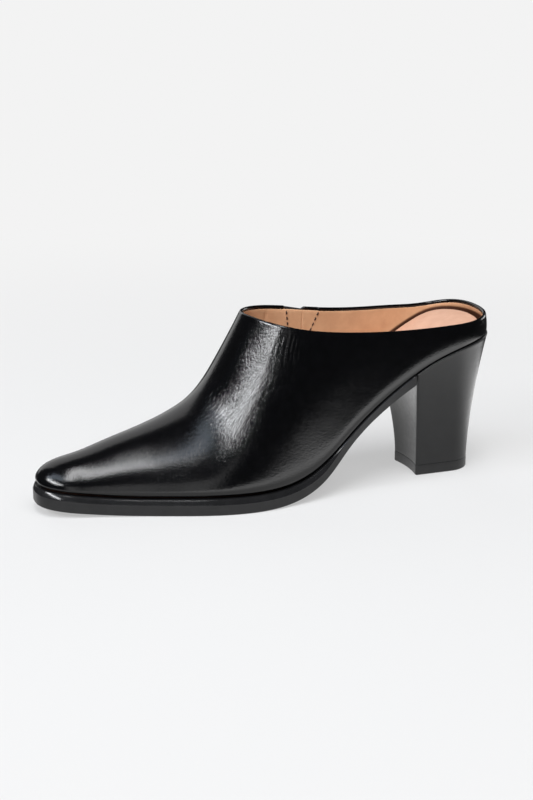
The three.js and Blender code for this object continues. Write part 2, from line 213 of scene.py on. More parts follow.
def spline(xs, ys):
    """Natural cubic spline through (xs, ys), straight outside its ends."""
    xs, ys = np.array(xs, float), np.array(ys, float)
    width = np.diff(xs)
    slope = np.diff(ys) / width
    system = np.eye(len(xs))
    jump = np.zeros(len(xs))
    for i in range(1, len(xs) - 1):
        system[i, i - 1:i + 2] = width[i - 1], 2 * (width[i - 1] + width[i]), width[i]
        jump[i] = 6 * (slope[i] - slope[i - 1])
    bend = np.linalg.solve(system, jump)

    def curve(x):
        held = np.clip(x, xs[0], xs[-1])
        i = np.clip(np.searchsorted(xs, held, side="right") - 1, 0, len(width) - 1)
        v = (held - xs[i]) / width[i]
        u = 1 - v
        curl = ((u**3 - u) * bend[i] + (v**3 - v) * bend[i + 1]) * width[i] ** 2 / 6
        turn = ((1 - 3 * u**2) * bend[i] + (3 * v**2 - 1) * bend[i + 1]) * width[i] / 6
        return u * ys[i] + v * ys[i + 1] + curl + (slope[i] + turn) * (x - held)

    return curve


def table(names, rows):
    """One curve over x for each named column."""
    columns = dict(zip(names.split(), zip(*rows)))
    return {name: spline(columns["x"], column) for name, column in columns.items()}


OUTLINE = table("x outer inner crown pinch swell", [
    (0, 28.2, 28.2, 0, 0.02, 0.3),
    (27, 28.2, 28.2, 0, 0.02, 0.3),
    (41, 27.9, 27.2, -0.3, 0.04, 0.4),
    (57, 27.0, 24.8, -0.9, 0.08, 0.6),
    (76, 26.7, 21.9, -1.8, 0.12, 0.8),
    (95, 28.5, 21.7, -2.8, 0.15, 1.0),
    (115, 32.4, 26.0, -3.6, 0.16, 1.1),
    (134, 35.3, 31.7, -4.2, 0.17, 1.1),
    (152, 34.4, 33.8, -4.8, 0.17, 1.1),
    (168, 30.2, 32.0, -5.0, 0.14, 1.1),
    (186, 23.7, 27.8, -4.8, 0.09, 1.1),
    (204, 17.8, 23.0, -4.4, 0.04, 1.0),
    (222, 13.0, 19.0, -4.0, 0.02, 0.9),
    (242, 8.6, 16.6, -4.0, 0, 0.8),
])
PROFILE = table("x seat crown sole", [
    (0, 76.2, 358, 5.6),
    (14, 73.8, 330, 5.6),
    (28, 69.6, 302, 5.6),
    (42, 63.5, 274, 5.6),
    (56, 54.6, 246, 5.3),
    (70, 43.9, 218, 5.0),
    (82, 33.4, 194, 5.4),
    (94, 22.3, 170, 7.2),
    (106, 14.0, 146, 7.9),
    (118, 9.8, 122, 8.0),
    (132.4, 8.2, 92.0, 8.0),
    (142, 8.0, 74.0, 8.0),
    (150, 8.0, 60.4, 8.0),
    (158, 8.0, 50.8, 8.0),
    (168, 8.0, 44.2, 8.0),
    (186, 8.0, 37.1, 8.0),
    (204, 8.6, 31.8, 8.1),
    (222, 10.4, 26.6, 8.4),
    (242, 13.2, 25.0, 8.7),
])
COLLAR = table("x outer inner", [
    (0, 87.2, 87.7),
    (9, 85.7, 85.3),
    (20, 84.3, 83.3),
    (36, 83.3, 83.4),
    (62, 82.7, 85.0),
    (88, 84.0, 87.8),
    (108, 86.6, 90.4),
    (122, 89.6, 91.6),
    (132.4, 92.0, 92.0),
])


# ---- The last's surface ----
def mix(a, b, share):
    return a + (b - a) * share


def smooth_step(low, high, x):
    t = np.clip((x - low) / (high - low), 0, 1)
    return t * t * (3 - 2 * t)


def skin(x, reach, fullness, across, along, up):
    """A point of the upper's outer face. (across, along, up) is a unit direction seen from
    the middle of the section at x, and reach is how far the round end runs from there."""
    section = np.hypot(across, up)
    scale = (np.abs(along) ** fullness + section**fullness) ** (-1 / fullness)
    at = x + reach * along * scale
    outer, inner, seat = OUTLINE["outer"](at), OUTLINE["inner"](at), PROFILE["seat"](at)
    tall = PROFILE["crown"](at) - seat
    level = up * scale
    height = tall * level
    full = SWELL_HEIGHT * tall / (tall + LOW_WALL)
    half = (outer + inner) / 2
    swell = OUTLINE["swell"](at) / half * (height / full) * np.exp(1 - height / full)
    plan = (1 - OUTLINE["pinch"](at) * level**2) * (1 + swell)
    middle = mix((outer - inner) / 2, OUTLINE["crown"](at), level**2)
    lean = np.where(np.asarray(reach) < 0, COUNTER_LEAN * height * (along * scale) ** 2, 0)
    return np.stack([
        x + reach * along * scale * plan + lean,
        middle + half * across * scale * plan,
        seat + height,
    ], -1)


def vamp(x, lift):
    """The part between the round ends. lift is 0 on the outer feather line, PI on the inner."""
    return skin(x, 0, 2, np.cos(lift), 0 * lift, np.sin(lift))


def seat_end(turn, lift):
    """The round back. turn is 0 on the outer side and PI on the inner side."""
    return skin(HEEL_CENTRE, -HEEL_CENTRE, SEAT_FULLNESS,
                np.cos(lift) * np.cos(turn), np.cos(lift) * np.sin(turn), np.sin(lift))


def toe_end(lean, lift):
    """The round toe. lean is 0 over the crown and PI / 2 on the feather line."""
    return skin(TOE_CENTRE, UPPER_TIP - TOE_CENTRE, TOE_FULLNESS,
                np.cos(lift), np.sin(lift) * np.sin(lean), np.sin(lift) * np.cos(lean))


def rim_height(x, outward, drop):
    """Height of the collar, drop below its edge. outward is 1 outside and 0 inside."""
    held = np.maximum(x, 0)
    return mix(COLLAR["inner"](held), COLLAR["outer"](held), outward) - drop


def rim_lift(surface, along, outward, drop):
    """The lift at which each column of the surface meets the collar, found by halving."""
    low, high = np.zeros_like(along), np.full_like(along, math.pi / 2)
    for _ in range(HALVINGS):
        middle = (low + high) / 2
        point = surface(along, middle)
        over = point[..., 2] > rim_height(point[..., 0], outward, drop)
        high = np.where(over, middle, high)
        low = np.where(over, low, middle)
    return high


def throat(drop):
    """Where the crown line meets the collar, drop below its edge."""
    low, high = 125.0, 145.0
    for _ in range(HALVINGS):
        middle = (low + high) / 2
        if PROFILE["crown"](middle) > rim_height(middle, 0.5, drop):
            low = middle
        else:
            high = middle
    return low


def inner_side(x, lift):
    """The same as vamp, from the inner feather line up."""
    return vamp(x, math.pi - lift)


# ---- Meshes ----
def to_frame(points):
    return np.asarray(points, float) * MM + ORIGIN


class Sheet:
    """Gathers grids of points into one welded mesh."""

    def __init__(self):
        self.points = []
        self.faces = []
        self.count = 0

    def keep(self, points):
        """Adds the points and returns the first one's index."""
        first = self.count
        self.points.append(np.asarray(points, float).reshape(-1, 3))
        self.count += len(self.points[-1])
        return first

    def grid(self, points, closed=False):
        """Quads over points[stations, rows]. A closed grid's last station meets its first."""
        stations, rows = points.shape[:2]
        index = self.keep(points) + np.arange(stations * rows).reshape(stations, rows)
        if closed:
            index = np.concatenate([index, index[:1]])
        a, b, c, d = index[:-1, :-1], index[1:, :-1], index[1:, 1:], index[:-1, 1:]
        self.faces.extend(np.stack([a, b, c, d], -1).reshape(-1, 4).tolist())

    def fill(self, ring):
        """One face inside a closed ring of points."""
        first = self.keep(ring)
        self.faces.append(list(range(first, self.count)))

    def build(self, name, rise=0):
        """The object, in the frame and raised by rise."""
        points = np.concatenate(self.points) + (0, 0, rise)
        mesh = bpy.data.meshes.new(name)
        mesh.from_pydata(to_frame(points).tolist(), [], self.faces)
        work = bmesh.new()
        work.from_mesh(mesh)
        bmesh.ops.remove_doubles(work, verts=work.verts, dist=WELD * MM)
        bmesh.ops.recalc_face_normals(work, faces=work.faces)
        work.to_mesh(mesh)
        work.free()
        mesh.shade_smooth()
        thing = bpy.data.objects.new(name, mesh)
        bpy.context.scene.collection.objects.link(thing)
        return thing


def unit(vectors):
    return vectors / np.maximum(np.linalg.norm(vectors, axis=-1, keepdims=True), 1e-12)


def tangents(points, closed=False):
    if closed:
        return unit(np.roll(points, -1, 0) - np.roll(points, 1, 0))
    return unit(np.gradient(points, axis=0))


def rolled(points, normals, side, radius, flap, steps=8):
    """A strip that leaves points along side, turns over to the back of normals and runs
    back for flap. It gives points[stations, rows]. radius may differ from point to point."""
    radius = np.reshape(radius, (-1, 1))
    rows = []
    for turn in np.linspace(0, math.pi, steps):
        rows.append(points + radius * ((math.cos(turn) - 1) * normals + math.sin(turn) * side))
    for run in np.linspace(0, flap, 4)[1:]:
        rows.append(points - 2 * radius * normals - run * side)
    return np.stack(rows, 1)


def ladder(left, right, columns):
    """A grid of straight rungs from each point of left to the same point of right."""
    share = np.linspace(0, 1, columns + 1)[None, :, None]
    return mix(left[:, None], right[:, None], share)


# ---- The upper's form ----
def row_shares(rows):
    """Shares of the way from the feather line up, closer near the feather line."""
    return np.linspace(0, 1, rows + 1) ** ROW_EASE


def over_crown(rows):
    """Lifts from the outer feather line over the crown to the inner one."""
    half = row_shares(rows) * math.pi / 2
    return np.concatenate([half, math.pi - half[-2::-1]])


def core(points):
    """A point just under the seat beside each point, for telling outward from inward."""
    x = np.clip(points[..., 0], HEEL_CENTRE, TOE_CENTRE)
    y = (OUTLINE["outer"](x) - OUTLINE["inner"](x)) / 2
    return np.stack([x, y, PROFILE["seat"](x) - 1], -1)


def face(surface, a, b):
    """Points of surface(a, b) and their outward unit normals."""
    points = surface(a, b)
    held = np.clip(b, 2e-3, math.pi - 2e-3)
    step = 1e-4
    da = surface(a + step, held) - surface(a - step, held)
    db = surface(a, held + step) - surface(a, held - step)
    normals = unit(np.cross(da, db))
    outward = np.sum(normals * (points - core(points)), -1, keepdims=True)
    return points, normals * np.where(outward < 0, -1, 1)


def leather_drop(x):
    """How far the inner side's last row lies below the collar, which it does most under the
    elastic."""
    aside = np.abs(x - GORE_X) - GORE_WIDTH / 2
    return ROLL + GORE_DIP * smooth_step(0.3, -0.6, aside)


def drawn_in(points, normals):
    """Points near the feather line drawn in: a broad turn and, under it, a groove."""
    share = smooth_step(*LEDGE_FADE, points[..., 0])
    above = points[..., 2] - PROFILE["seat"](points[..., 0])
    depth = 0
    for depths, heights in (GROOVE, TURN_IN):
        depth = depth + mix(*depths, share) * np.clip(1 - above / mix(*heights, share), 0, 1) ** 2
    return points - normals * depth[..., None]


def side_face(x, climb, inner, drop):
    """One side behind the throat, over a grid of x and the share of the way up to the
    collar."""
    surface = inner_side if inner else vamp
    lift = rim_lift(surface, x, 0 if inner else 1, drop)
    return face(surface, x, lift * climb)


def seat_face(turn, climb, drop):
    """The same round the back."""
    lift = rim_lift(seat_end, turn, (1 + np.cos(turn)) / 2, drop)
    return face(seat_end, turn, lift * climb)


def gore_half(climb):
    """Half width of the gore at a share of the way up to the collar."""
    top = COLLAR["inner"](GORE_X)
    lift = rim_lift(inner_side, np.array([GORE_X], float), 0, ROLL)[0]
    height = inner_side(GORE_X + 0 * climb, lift * climb)[..., 2]
    return GORE_WIDTH / 2 * np.clip((height - top + GORE_DEPTH) / GORE_DEPTH, 0, 1)


def gore_relief(x, climb):
    """The leather's height on the inner side: a sunk bed for the elastic, and behind it a
    flap that stands a little proud."""
    half = gore_half(climb)
    bed = -GORE_BED * smooth_step(-0.1, GORE_STEP, half - np.abs(x - GORE_X))
    seam = GORE_X - half * SEAM_SPREAD
    flap = FLAP_STEP * smooth_step(-0.3, 0.3, x - seam) * smooth_step(0, 0.5, half)
    return bed + np.where(x < GORE_X, flap, 0)


def trough(across, width):
    """A soft trough with low shoulders, 1 deep in its middle."""
    shoulder = 0.35 * np.exp(-(((np.abs(across) - 2 * width) / width) ** 2))
    return shoulder - np.exp(-((across / width) ** 2))


def crease_relief(points, creases):
    """How high a list of creases lifts each point."""
    height = np.zeros(points.shape[:-1])
    for x0, z0, x1, z1, bow, width, depth in creases:
        span = np.array([x1 - x0, z1 - z0])
        length = np.linalg.norm(span)
        offset = points[..., [0, 2]] - np.array([x0, z0])
        along = offset @ span / length**2
        across = offset @ np.array([-span[1], span[0]]) / length
        held = np.clip(along, 0, 1)
        fade = smooth_step(0, 0.3, held) * smooth_step(1, 0.65, held)
        height += depth * fade * trough(across - 4 * bow * held * (1 - held), width)
    return height


def creased(points, normals):
    """Points of the upper's face moved to follow the creases of their side."""
    side = np.clip(normals[..., 1] * 2.5, -1, 1)
    height = (np.maximum(side, 0) * crease_relief(points, CREASES_OUTER)
              + np.maximum(-side, 0) * crease_relief(points, CREASES_INNER))
    return points + normals * height[..., None]


def stations_between(places):
    """x at successive stations, from (place, number of steps to the next) pairs."""
    parts = [np.linspace(a, b, steps + 1)[:-1]
             for (a, steps), (b, _) in zip(places, places[1:])]
    return np.concatenate([*parts, [places[-1][0]]])


def inner_stations(front, climb):
    """x over [stations, rows] of the inner side, in columns that follow the gore's edges
    and the flap's seam."""
    half = np.maximum(gore_half(climb), 0.25)
    step = 0.9 * np.minimum(half, 1)
    ahead = GORE_X + half
    behind = GORE_X - half
    seam = GORE_X - np.maximum(half * SEAM_SPREAD, half + 1.2)
    # Each line's x, the number of columns to the next line, and how they crowd there.
    lines = [
        (front + 0 * climb, 34, 2.0),
        (ahead + 1.6, 4, 1),
        (ahead + 0.2, 8, 1),
        (ahead - step, 6, 1),
        (behind + step, 8, 1),
        (behind - 0.2, 8, 1),
        (seam + 0.5, 6, 1),
        (seam - 0.5, 50, 1),
        (HEEL_CENTRE + 0 * climb, 0, 1),
    ]
    columns = []
    for (a, steps, ease), (b, _, _) in zip(lines, lines[1:]):
        columns.extend(mix(a, b, share**ease) for share in np.arange(steps) / steps)
    columns.append(lines[-1][0])
    return np.stack(columns)


def grid_of(stations, rows):
    """Stations and rows at each point of their grid."""
    return np.meshgrid(stations, rows, indexing="ij")


def around(*rows):
    """Joins rows end to end without their shared points."""
    return np.concatenate([row[:-1] for row in rows[:-1]] + [rows[-1]])


FRONT = throat(ROLL)
CLIMB = row_shares(SIDE_ROWS)


def outer_stations():
    """x at the outer side's stations, closer together towards the throat."""
    near = FRONT - np.linspace(0, 1, 21)[:-1] ** 2 * 6
    rest = stations_between([(FRONT - 6, 70), (100, 50), (HEEL_CENTRE, 0)])
    return np.concatenate([near, rest])


def rim_of(outer, seat, inner):
    """Points and normals round the collar."""
    return [around(outer[k][:, -1], seat[k][:, -1], inner[k][:, -1])[:-1] for k in (0, 1)]


def foot_of(outer, seat, inner, front, toe):
    """Points and normals round the feather line."""
    return [around(outer[k][:, 0], seat[k][:, 0], inner[k][:, 0], front[k][:, -1],
                   toe[k][-1, ::-1], front[k][::-1, 0])[:-1] for k in (0, 1)]


def make_upper():
    """The leather from the feather line to the collar, its folded edge and its turned-in
    lower edge, as one piece."""
    outer = side_face(*grid_of(outer_stations(), CLIMB), False, ROLL)
    seat = seat_face(*grid_of(np.linspace(0, math.pi, 71), CLIMB), ROLL)
    x = inner_stations(FRONT, CLIMB)[::-1]
    points, normals = side_face(x, CLIMB, True, leather_drop(x))
    inner = (points + normals * gore_relief(x, CLIMB)[..., None], normals)
    lifts = over_crown(SIDE_ROWS)
    along = stations_between([(FRONT, 44), (150, 66), (TOE_CENTRE, 0)])
    front = face(vamp, *grid_of(along, lifts))
    toe = face(toe_end, *grid_of(np.linspace(0, math.pi / 2, 33), lifts))

    sheet = Sheet()
    parts = [(drawn_in(creased(points, normals), normals), normals)
             for points, normals in (outer, seat, inner, front, toe)]
    for points, _ in parts:
        sheet.grid(points)
    points, normals = rim_of(*parts[:3])
    up = unit(np.cross(normals, tangents(points, closed=True)))
    under = smooth_step(0.8, 0, np.abs(points[:, 0] - GORE_X) - GORE_WIDTH / 2)
    radius = mix(ROLL, GORE_ROLL, np.where(normals[:, 1] < 0, under, 0))
    sheet.grid(rolled(points, normals, up, radius, FLAP), closed=True)
    points, normals = foot_of(*parts)
    down = -unit(np.cross(normals, tangents(points, closed=True)))
    sheet.grid(rolled(points, normals, down, TUCK, TUCK_FLAP, steps=6), closed=True)
    return sheet.build("upper_leather", rise=RISE)


def sock_top(x):
    """Height of the sock's edge."""
    slope = PROFILE["seat"](x + 0.5) - PROFILE["seat"](x - 0.5)
    pad = SOCK_PAD * smooth_step(*SOCK_PAD_FADE, x)
    return PROFILE["seat"](x) + (INSOLE + pad) * np.hypot(1, slope)


def make_lining():
    """The inner face, a wall's thickness inside the leather, from the seat to its rolled
    upper edge."""
    rows = row_shares(LINING_ROWS)
    drop = LINING_DROP
    front = throat(drop)
    near = front - np.linspace(0, 1, 25)[:-1] ** 2 * 8
    rest = stations_between(
        [(front - 8, 8), (117, 14), (112, 12), (95.4, 12), (93.2, 28), (HEEL_CENTRE, 0)])
    x, climb = grid_of(np.concatenate([near, rest]), rows)
    outer = side_face(x, climb, False, drop)
    seat = seat_face(*grid_of(np.linspace(0, math.pi, 49), rows), drop)
    points, normals = side_face(x[::-1], climb, True, drop)
    x, z = points[..., 0], points[..., 2]
    seam = sum(depth * np.exp(-(((x - at) / width) ** 2)) for at, width, depth in LINING_SEAMS)
    seam *= smooth_step(*LINING_SEAM_FADE, rim_height(x, 0, drop) - z)
    inner = (points + normals * seam[..., None], normals)
    lifts = over_crown(LINING_ROWS)
    ahead = face(vamp, *grid_of(stations_between([(front, 50), (TOE_CENTRE, 0)]), lifts))
    toe = face(toe_end, *grid_of(np.linspace(0, math.pi / 2, 17), lifts))

    sheet = Sheet()
    parts = [(drawn_in(points, normals) - WALL * normals, -normals)
             for points, normals in (outer, seat, inner, ahead, toe)]
    for points, _ in parts:
        sheet.grid(points)
    points, normals = rim_of(*parts[:3])
    up = -unit(np.cross(normals, tangents(points, closed=True)))
    sheet.grid(rolled(points, normals, up, LINING_ROLL, LINING_FLAP, steps=6), closed=True)
    foot, _ = foot_of(*parts)
    below = foot.copy()
    below[:, 2] = np.minimum(foot[:, 2], PROFILE["seat"](foot[:, 0])) - RISE
    sheet.grid(np.stack([foot, below], 1), closed=True)
    lining = sheet.build("lining", rise=RISE)
    # Each point's height over the sock's edge, which the lining's material reads to paint the
    # crevice's shade.
    places = (np.array([vertex.co for vertex in lining.data.vertices]) - ORIGIN) / MM
    level = places[:, 2] - RISE - sock_top(places[:, 0])
    mark = lining.data.attributes.new("over_sock", "FLOAT", "POINT")
    mark.data.foreach_set("value", level.astype(np.float32))
    return lining


def make_elastic():
    """The gore's ribbed elastic in its bed, with its own fold over the collar."""
    climb = np.linspace(0.5, 1, 60)
    half = gore_half(climb) + 0.5
    across = np.linspace(-1, 1, 96)[:, None]
    x = GORE_X - across * half
    sunk = mix(0.3, 1.1, np.clip((GORE_X - x) / GORE_WIDTH + 0.5, 0, 1))
    points, normals = side_face(x, climb, True, ELASTIC_ROLL + sunk)
    rib = RIB_DEPTH * np.cos(2 * math.pi * (x - GORE_X) / RIB) - ELASTIC_DEPTH
    points = points + normals * rib[..., None]
    sheet = Sheet()
    sheet.grid(points)
    up = unit(np.cross(normals[:, -1], tangents(points[:, -1])))
    up *= np.sign(up[:, 2:])
    sheet.grid(rolled(points[:, -1], normals[:, -1], up, ELASTIC_ROLL, ELASTIC_FLAP))
    return sheet.build("gore_elastic", rise=RISE)


# ---- Outlines in plan ----
def feather(side, run, start):
    """The feather line. side is 1 outer, -1 inner. run is -1 to 0 round the seat, 0 to 1
    from start to the toe's centre and 1 to 2 round the toe."""
    turn = math.pi / 2 * np.where(run > 1, run - 1, np.maximum(-run, 0))
    level = 0 * run
    across, along = side * np.cos(turn), np.sin(turn)
    seat = skin(HEEL_CENTRE, -HEEL_CENTRE, SEAT_FULLNESS, across, along, level)
    toe = skin(TOE_CENTRE, UPPER_TIP - TOE_CENTRE, TOE_FULLNESS, across, along, level)
    x = mix(start, TOE_CENTRE, np.clip(run, 0, 1))
    between = skin(x, 0, 2, side + level, level, level)
    run = run[:, None]
    return np.where(run < 0, seat, np.where(run > 1, toe, between))


def level_normals(points, side, closed_ends):
    """Outward level normals of one side's outline, whose ends lie on the shoe's long axis
    where closed_ends says so."""
    along = np.gradient(points, axis=0)
    normals = unit(np.stack([-side * along[:, 1], side * along[:, 0], 0 * along[:, 0]], -1))
    if closed_ends[0]:
        normals[0] = (-1, 0, 0)
    if closed_ends[1]:
        normals[-1] = (1, 0, 0)
    return normals


def sole_side(side):
    """One side of the sole's outline, with the ledge, and its level normals."""
    line = feather(side, stations_between([(0, 120), (1, 48), (2, 0)]), WAIST_END)
    normals = level_normals(line, side, (False, True))
    ledge = LEDGE * smooth_step(*LEDGE_FADE, line[:, 0])
    return line + normals * ledge[:, None], normals


def underside(x):
    """Height of the sole's underside, flat under the ball."""
    lift = np.maximum(PROFILE["seat"](x) - PROFILE["sole"](x), 0)
    return np.where((x >= TREAD[0]) & (x <= TREAD[1]), 0, lift)


def edge_round(radius, steps=4):
    """(inset, depth) down a rounded edge, from its flat top to its wall."""
    turns = np.linspace(0, math.pi / 2, steps + 1)
    return [(radius * (1 - math.sin(t)), radius * (1 - math.cos(t))) for t in turns]


def make_sole():
    """The sole with its bevelled ledge and its rounded lower edge."""
    sides = {side: sole_side(side) for side in (1, -1)}
    bevel = [(1, 0), (0.97, 0.01), (0.06, 0.94), (0.015, 0.98), (0, 1.03), (0, 1.12)]
    foot = [(0, 1.4), (0, 1.15), *reversed(edge_round(1))]

    def line(side, inset, depth, low):
        points, normals = sides[side]
        x = points[:, 0]
        share = smooth_step(*LEDGE_FADE, x)
        if low:
            out, height = SOLE_FOOT * inset, underside(x) + SOLE_FOOT * depth
        else:
            out = mix(SOLE_EDGE, SOLE_BEVEL[0], share) * inset
            height = PROFILE["seat"](x) - mix(SOLE_EDGE, SOLE_BEVEL[1], share) * depth
        moved = points - normals * np.reshape(out, (-1, 1))
        moved[:, 2] = height
        return moved

    rows = [(*row, False) for row in bevel] + [(*row, True) for row in foot]
    outer, inner = [np.stack([line(side, *row) for row in rows], 1) for side in (1, -1)]
    sheet = Sheet()
    sheet.grid(np.concatenate([outer, inner[::-1][1:]]))
    for a, b in ((outer[:, 0], inner[:, 0]), (outer[:, -1], inner[:, -1]), (outer[0], inner[0])):
        sheet.grid(ladder(a, b, 8))
    return sheet.build("sole")


def make_sock():
    """The insole, full and round-edged, with a padded heel end."""
    run = stations_between([(-1, 32), (0, 96), (1, 32), (2, 0)])
    sheet = Sheet()
    rings = {}
    for side in (1, -1):
        line = feather(side, run, HEEL_CENTRE)
        normals = level_normals(line, side, (True, True))
        side_share = smooth_step(*SOCK_MARGIN_FADE, line[:, 0])
        margin = WALL + mix(SOCK_MARGIN[0] - WALL, SOCK_MARGIN[1], side_share)
        line = line - normals * margin[:, None]
        levels = []
        for inset, depth in [*edge_round(SOCK_EDGE, 6), (0.3, 9)]:
            moved = line - normals * inset
            x = moved[:, 0]
            moved[:, 2] = np.maximum(sock_top(x) - depth, PROFILE["seat"](x))
            levels.append(moved)
        rings[side] = np.stack(levels, 1)
    wall = np.concatenate([rings[1], rings[-1][::-1][1:-1]])
    sheet.grid(wall, closed=True)
    top = ladder(rings[1][:, 0], rings[-1][:, 0], 24)
    across = np.linspace(-1, 1, 25)
    x = top[..., 0]
    full = smooth_step(0, 14, x) * mix(SOCK_CROWN_AHEAD, 1, smooth_step(70, 30, x))
    full *= smooth_step(UPPER_TIP, 200, x)
    top[..., 2] += SOCK_CROWN * full * (1 - across**4)
    sheet.grid(top)
    sheet.grid(ladder(rings[1][:, -1], rings[-1][:, -1], 6))
    return sheet.build("sock", rise=RISE)


# ---- The heel ----
def heel_side(u, side, open_share):
    """Plan of one side, u from the back to the breast, between the lift's small D
    (open_share 0) and the seat's outline (1)."""
    turn = math.pi / 2 * (1 - np.minimum(u / HEEL_ROUND, 1))
    forward = np.maximum((u - HEEL_ROUND) / (1 - HEEL_ROUND), 0)
    across, along = side * np.cos(turn), np.sin(turn)
    reach = np.where(forward > 0, 0, -HEEL_CENTRE)
    x = mix(HEEL_CENTRE, BREAST_TOP, forward)
    top = skin(x, reach, SEAT_FULLNESS, across, along, 0 * u)
    centre = mix(LIFT_BACK + LIFT_HALF_WIDTH, LIFT_BREAST, forward)
    low = np.stack([centre - LIFT_HALF_WIDTH * along, LIFT_HALF_WIDTH * across], -1)
    return mix(low, top[:, :2], open_share)


def heel_plan(open_share):
    """Closed plan outline of the heel with rounded breast corners."""
    tip = {side: heel_side(np.array([1.0]), side, open_share)[0] for side in (1, -1)}
    bend = heel_side(np.array([HEEL_ROUND]), 1, open_share)[0]
    cut = (1 - HEEL_ROUND) * HEEL_CORNER / np.linalg.norm(tip[1] - bend)
    u = stations_between([(0, 24), (HEEL_ROUND, 8), (1 - cut, 0)])
    margin = HEEL_CORNER / np.linalg.norm(tip[1] - tip[-1])
    share = np.linspace(margin, 1 - margin, 13)[:, None]
    breast = mix(tip[1], tip[-1], share)
    breast[:, :1] -= BREAST_HOLLOW * (1 - (2 * share - 1) ** 2)

    def turned(a, b, c):
        t = np.linspace(0, 1, 6)[1:-1, None]
        return (1 - t) ** 2 * a + 2 * t * (1 - t) * b + t**2 * c

    outer, inner = heel_side(u, 1, open_share), heel_side(u, -1, open_share)
    return np.concatenate([
        outer,
        turned(outer[-1], tip[1], breast[0]),
        breast,
        turned(breast[-1], tip[-1], inner[-1]),
        inner[::-1][:-1],
    ])


def grown(plan, distance):
    """A closed plan outline moved out by distance."""
    along = tangents(plan, closed=True)
    out = np.stack([-along[:, 1], along[:, 0]], -1)
    centre = plan.mean(0)
    out *= np.sign(np.sum(out * (plan - centre), -1).sum())
    return plan + out * distance


def raised(plan, height):
    """A plan outline at one height, or at a height for each point."""
    return np.column_stack([plan, height + 0 * plan[:, 0]])


def capped(name, rings):
    """The object through closed rings, with both ends filled."""
    sheet = Sheet()
    sheet.grid(np.stack(rings, 1), closed=True)
    sheet.fill(rings[0])
    sheet.fill(rings[-1])
    return sheet.build(name)


def make_heel():
    """The covered block, its edges rounded at the top, the bottom and the breast."""
    floor = LIFT + LIFT_GAP
    seat, foot = heel_plan(1), heel_plan(0)
    top = PROFILE["seat"](seat[:, 0])
    rings = [raised(grown(seat, -inset), top - depth) for inset, depth in edge_round(HEEL_EDGE)]
    for share in np.linspace(0.97, 0.03, 30):
        rings.append(raised(heel_plan(share**HEEL_TAPER), mix(floor, top, share)))
    for inset, depth in reversed(edge_round(LIFT_SEAM)):
        rings.append(raised(grown(foot, -inset), floor + depth))
    return capped("heel_block", rings)


def make_lift():
    """The rubber top lift, a little proud of the block."""
    outline = grown(heel_plan(0), LIFT_PROUD)
    rings = [raised(grown(outline, -inset), LIFT - depth) for inset, depth in edge_round(LIFT_SEAM)]
    for inset, depth in reversed(edge_round(LIFT_EDGE)):
        rings.append(raised(grown(outline, -inset), depth))
    return capped("heel_lift", rings)


# ---- Stitches ----
def add_stitches(sheet, points, normals):
    """Small rounded stitches laid along a line of points, each sinking in at its ends."""
    steps = np.concatenate([[0], np.cumsum(np.linalg.norm(np.diff(points, axis=0), axis=1))])
    count = int((steps[-1] + STITCH_GAP) // (STITCH + STITCH_GAP))
    ring = np.linspace(0, 2 * math.pi, 9)[:-1]
    for start in np.arange(count) * (STITCH + STITCH_GAP):
        along = np.linspace(0, 1, 9)
        at = start + STITCH * along
        middle = np.stack([np.interp(at, steps, points[:, k]) for k in range(3)], -1)
        out = unit(np.stack([np.interp(at, steps, normals[:, k]) for k in range(3)], -1))
        side = unit(np.cross(out, tangents(middle)))
        radius = THREAD * (1 - (2 * along - 1) ** 4) ** 0.5 + 0.01
        middle = middle + out * (THREAD * (0.9 * np.sin(math.pi * along) - 0.45))[:, None]
        circle = side[:, None] * np.cos(ring)[:, None] + out[:, None] * np.sin(ring)[:, None]
        tube = middle[:, None] + circle * radius[:, None, None]
        sheet.grid(np.swapaxes(tube, 0, 1), closed=True)
        sheet.fill(tube[0])
        sheet.fill(tube[-1])


def gore_seams(front, back, low, high):
    """Points and normals of two lines down from the collar. They lie front ahead of the
    gore's front edge and back ahead of the seam behind its flap."""
    climb = np.linspace(high, low, 60)
    half = gore_half(climb)
    places = (GORE_X + half + front, GORE_X - np.maximum(half * SEAM_SPREAD - back, half + 1.4))
    return [side_face(x, climb, True, ROLL) for x in places]


def make_lining_stitches():
    sheet = Sheet()
    for points, normals in gore_seams(-0.4, -0.6, 0.66, 0.975):
        add_stitches(sheet, points - WALL * normals, -normals)
    return sheet.build("lining_stitches", rise=RISE)


def make_upper_stitches():
    sheet = Sheet()
    ahead, behind = gore_seams(1.6, 1.4, 0.6, 0.98)
    add_stitches(sheet, *ahead)
    points, normals = behind
    add_stitches(sheet, points + normals * FLAP_STEP, normals)
    return sheet.build("upper_stitches", rise=RISE)


